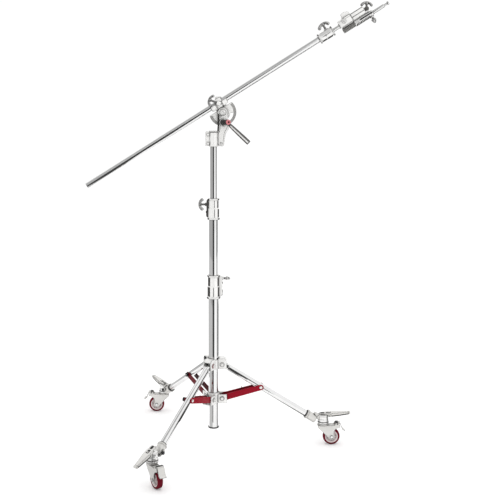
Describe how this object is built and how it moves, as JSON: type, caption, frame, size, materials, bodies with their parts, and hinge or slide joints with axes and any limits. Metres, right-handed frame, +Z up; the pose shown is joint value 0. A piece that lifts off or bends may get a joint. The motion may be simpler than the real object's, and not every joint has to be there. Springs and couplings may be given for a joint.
{
  "type": "wheeled boom stand",
  "caption": "Folding wheeled tripod stand with a telescopic column and a tilting, sliding boom that ends in a spigot pin",
  "frame": {"origin": "on the column's axis at floor level, under the middle of the tripod", "axes": "+Z up along the column; +X along the right-hand leg, the way the boom rises; +Y away from the front leg"},
  "size_m": [1.2874, 1.0749, 1.9444],
  "materials": {
    "polished_tube": "polished stainless steel tube with fine drawn lines",
    "cast_alloy": "smooth die-cast alloy, bright satin",
    "turned_alloy": "machined alloy, satin with turning marks",
    "bright_hardware": "bright plated bolts and levers",
    "black_hardware": "black oxide bolts and small parts",
    "red_paint": "gloss red powder coat",
    "red_cap": "satin red plastic",
    "white_core": "pale nylon wheel core",
    "red_tyre": "dark red polyurethane",
    "black_brake": "black moulded brake tab"
  },
  "bodies": {
    "column": {"base_tube": "polished_tube", "brace_collar": "cast_alloy", "collar_pivot_bolts": "black_hardware", "lower_riser_collar": "turned_alloy"},
    "lower_handle": {"lower_collar_handle": "bright_hardware"},
    "mid_riser": {"mid_riser_tube": "polished_tube", "upper_riser_collar": "turned_alloy"},
    "upper_handle": {"upper_collar_handle": "bright_hardware"},
    "top_riser": {"top_riser_tube": "polished_tube"},
    "head_bracket": {"pivot_bracket": "cast_alloy", "bracket_bolts": "bright_hardware"},
    "clamp_lever": {"tilt_lever": "bright_hardware", "lever_cap": "red_cap"},
    "boom_carrier": {"tilt_quadrant": "cast_alloy", "boom_sleeve": "cast_alloy"},
    "boom_clamp": {"sleeve_handle": "bright_hardware"},
    "boom": {"boom_tube": "polished_tube", "boom_end_collar": "turned_alloy"},
    "rod_clamp": {"boom_end_handle": "bright_hardware"},
    "rod": {"extension_rod": "bright_hardware"},
    "end_head": {"boom_end_block": "turned_alloy", "pin_receiver": "turned_alloy"},
    "head_clamp": {"head_handle": "bright_hardware"},
    "pin_clamp": {"receiver_handle": "bright_hardware"},
    "pin": {"baby_pin": "bright_hardware"},
    "hub": {"leg_hub": "cast_alloy", "hub_pivot_bolts": "black_hardware"},
    "leg_right": {"leg_tube_right": "polished_tube", "foot_socket_right": "cast_alloy", "foot_clamp_screw_right": "black_hardware"},
    "pedal_right": {"foot_pedal_right": "cast_alloy"},
    "caster_right": {"caster_fork_right": "cast_alloy", "caster_axle_right": "bright_hardware"},
    "wheel_right": {"wheel_core_right": "white_core", "wheel_tyre_right": "red_tyre"},
    "brake_right": {"brake_tab_right": "black_brake"},
    "brace_right": {"brace_right": "red_paint", "brace_bolts_right": "black_hardware"},
    "leg_rear": {"leg_tube_rear": "polished_tube", "foot_socket_rear": "cast_alloy", "foot_clamp_screw_rear": "black_hardware"},
    "pedal_rear": {"foot_pedal_rear": "cast_alloy"},
    "caster_rear": {"caster_fork_rear": "cast_alloy", "caster_axle_rear": "bright_hardware"},
    "wheel_rear": {"wheel_core_rear": "white_core", "wheel_tyre_rear": "red_tyre"},
    "brake_rear": {"brake_tab_rear": "black_brake"},
    "brace_rear": {"brace_rear": "red_paint", "brace_bolts_rear": "black_hardware"},
    "leg_front": {"leg_tube_front": "polished_tube", "foot_socket_front": "cast_alloy", "foot_clamp_screw_front": "black_hardware"},
    "pedal_front": {"foot_pedal_front": "cast_alloy"},
    "caster_front": {"caster_fork_front": "cast_alloy", "caster_axle_front": "bright_hardware"},
    "wheel_front": {"wheel_core_front": "white_core", "wheel_tyre_front": "red_tyre"},
    "brake_front": {"brake_tab_front": "black_brake"},
    "brace_front": {"brace_front": "red_paint", "brace_bolts_front": "black_hardware"}
  },
  "joints": [
    {"name": "lower_handle_turn", "type": "hinge", "parent": "column", "child": "lower_handle", "pos_m": [0.045, 0, 0.766], "axis": [1, 0, 0], "range_deg": [-90, 90]},
    {"name": "mid_riser_slide", "type": "slide", "parent": "column", "child": "mid_riser", "axis": [0, 0, 1], "range_m": [-0.24, 0.19]},
    {"name": "upper_handle_turn", "type": "hinge", "parent": "mid_riser", "child": "upper_handle", "pos_m": [-0.038, 0, 1.092], "axis": [-1, 0, 0], "range_deg": [-90, 90]},
    {"name": "top_riser_slide", "type": "slide", "parent": "mid_riser", "child": "top_riser", "axis": [0, 0, 1], "range_m": [-0.215, 0.155]},
    {"name": "head_pan", "type": "hinge", "parent": "top_riser", "child": "head_bracket", "pos_m": [0, 0, 1.375], "axis": [0, 0, 1], "range_deg": [-180, 180]},
    {"name": "clamp_lever_turn", "type": "hinge", "parent": "head_bracket", "child": "clamp_lever", "pos_m": [0.0413, 0, 1.444], "axis": [0, -1, 0], "range_deg": [-40, 40]},
    {"name": "boom_tilt", "type": "hinge", "parent": "head_bracket", "child": "boom_carrier", "pos_m": [0.039, 0, 1.486], "axis": [0, -1, 0], "range_deg": [-77, 23]},
    {"name": "boom_clamp_turn", "type": "hinge", "parent": "boom_carrier", "child": "boom_clamp", "pos_m": [0.02296, -0.027, 1.52313], "axis": [-0.9391, 0, 0.3437], "range_deg": [-90, 90]},
    {"name": "boom_slide", "type": "slide", "parent": "boom_carrier", "child": "boom", "axis": [0.849, 0, 0.5284], "range_m": [-0.25, 0.35]},
    {"name": "rod_clamp_turn", "type": "hinge", "parent": "boom", "child": "rod_clamp", "pos_m": [0.47168, 0, 1.82599], "axis": [-0.5284, 0, 0.849], "range_deg": [-90, 90]},
    {"name": "rod_slide", "type": "slide", "parent": "boom", "child": "rod", "axis": [0.849, 0, 0.5284], "range_m": [0, 0.15]},
    {"name": "end_head_turn", "type": "hinge", "parent": "rod", "child": "end_head", "pos_m": [0.55936, 0, 1.86113], "axis": [0.849, 0, 0.5284], "range_deg": [-180, 180]},
    {"name": "head_clamp_turn", "type": "hinge", "parent": "end_head", "child": "head_clamp", "pos_m": [0.63784, 0, 1.91293], "axis": [0.0366, 0, 0.9993], "range_deg": [-90, 90]},
    {"name": "pin_clamp_turn", "type": "hinge", "parent": "end_head", "child": "pin_clamp", "pos_m": [0.66131, 0, 1.88278], "axis": [0.5284, 0, -0.849], "range_deg": [-90, 90]},
    {"name": "pin_slide", "type": "slide", "parent": "end_head", "child": "pin", "axis": [0.849, 0, 0.5284], "range_m": [0, 0.045]},
    {"name": "hub_slide", "type": "slide", "parent": "column", "child": "hub", "axis": [0, 0, 1], "range_m": [0, 0.2166]},
    {"name": "leg_fold_right", "type": "hinge", "parent": "hub", "child": "leg_right", "pos_m": [0.038, 0, 0.378], "axis": [0, 1, 0], "range_deg": [0, 45]},
    {"name": "brace_fold_right", "type": "hinge", "parent": "column", "child": "brace_right", "pos_m": [0.038, 0, 0.222], "axis": [0, -1, 0], "range_deg": [0, 59.2]},
    {"name": "pedal_right_rock", "type": "hinge", "parent": "leg_right", "child": "pedal_right", "pos_m": [0.527, 0, 0.138], "axis": [0, 1, 0], "range_deg": [0, 30]},
    {"name": "caster_swivel_right", "type": "hinge", "parent": "leg_right", "child": "caster_right", "pos_m": [0.495, 0, 0.11], "axis": [0, 0, 1], "continuous": true},
    {"name": "wheel_roll_right", "type": "hinge", "parent": "caster_right", "child": "wheel_right", "pos_m": [0.533, 0, 0.038], "axis": [0, 1, 0], "continuous": true},
    {"name": "brake_right_rock", "type": "hinge", "parent": "caster_right", "child": "brake_right", "pos_m": [0.558, 0, 0.099], "axis": [0, 1, 0], "range_deg": [0, 12]},
    {"name": "leg_fold_rear", "type": "hinge", "parent": "hub", "child": "leg_rear", "pos_m": [-0.019, 0.03291, 0.378], "axis": [-0.866, -0.5, 0], "range_deg": [0, 45]},
    {"name": "brace_fold_rear", "type": "hinge", "parent": "column", "child": "brace_rear", "pos_m": [-0.019, 0.03291, 0.222], "axis": [0.866, 0.5, 0], "range_deg": [0, 59.2]},
    {"name": "pedal_rear_rock", "type": "hinge", "parent": "leg_rear", "child": "pedal_rear", "pos_m": [-0.2635, 0.45639, 0.138], "axis": [-0.866, -0.5, 0], "range_deg": [0, 30]},
    {"name": "caster_swivel_rear", "type": "hinge", "parent": "leg_rear", "child": "caster_rear", "pos_m": [-0.2475, 0.42868, 0.11], "axis": [0, 0, 1], "continuous": true},
    {"name": "wheel_roll_rear", "type": "hinge", "parent": "caster_rear", "child": "wheel_rear", "pos_m": [-0.2855, 0.42868, 0.038], "axis": [0, -1, 0], "continuous": true},
    {"name": "brake_rear_rock", "type": "hinge", "parent": "caster_rear", "child": "brake_rear", "pos_m": [-0.3105, 0.42868, 0.099], "axis": [0, -1, 0], "range_deg": [0, 12]},
    {"name": "leg_fold_front", "type": "hinge", "parent": "hub", "child": "leg_front", "pos_m": [-0.019, -0.03291, 0.378], "axis": [0.866, -0.5, 0], "range_deg": [0, 45]},
    {"name": "brace_fold_front", "type": "hinge", "parent": "column", "child": "brace_front", "pos_m": [-0.019, -0.03291, 0.222], "axis": [-0.866, 0.5, 0], "range_deg": [0, 59.2]},
    {"name": "pedal_front_rock", "type": "hinge", "parent": "leg_front", "child": "pedal_front", "pos_m": [-0.2635, -0.45639, 0.138], "axis": [0.866, -0.5, 0], "range_deg": [-20, 10]},
    {"name": "caster_swivel_front", "type": "hinge", "parent": "leg_front", "child": "caster_front", "pos_m": [-0.2475, -0.42868, 0.11], "axis": [0, 0, 1], "continuous": true},
    {"name": "wheel_roll_front", "type": "hinge", "parent": "caster_front", "child": "wheel_front", "pos_m": [-0.2285, -0.46159, 0.038], "axis": [0.866, 0.5, 0], "continuous": true},
    {"name": "brake_front_rock", "type": "hinge", "parent": "caster_front", "child": "brake_front", "pos_m": [-0.216, -0.48324, 0.099], "axis": [0.866, 0.5, 0], "range_deg": [0, 12]}
  ],
  "couplings": [
    {"joint": "leg_fold_right", "follows": "hub_slide", "rad_per_m": 3.626},
    {"joint": "brace_fold_right", "follows": "hub_slide", "rad_per_m": 4.7702},
    {"joint": "leg_fold_rear", "follows": "hub_slide", "rad_per_m": 3.626},
    {"joint": "brace_fold_rear", "follows": "hub_slide", "rad_per_m": 4.7702},
    {"joint": "leg_fold_front", "follows": "hub_slide", "rad_per_m": 3.626},
    {"joint": "brace_fold_front", "follows": "hub_slide", "rad_per_m": 4.7702}
  ]
}
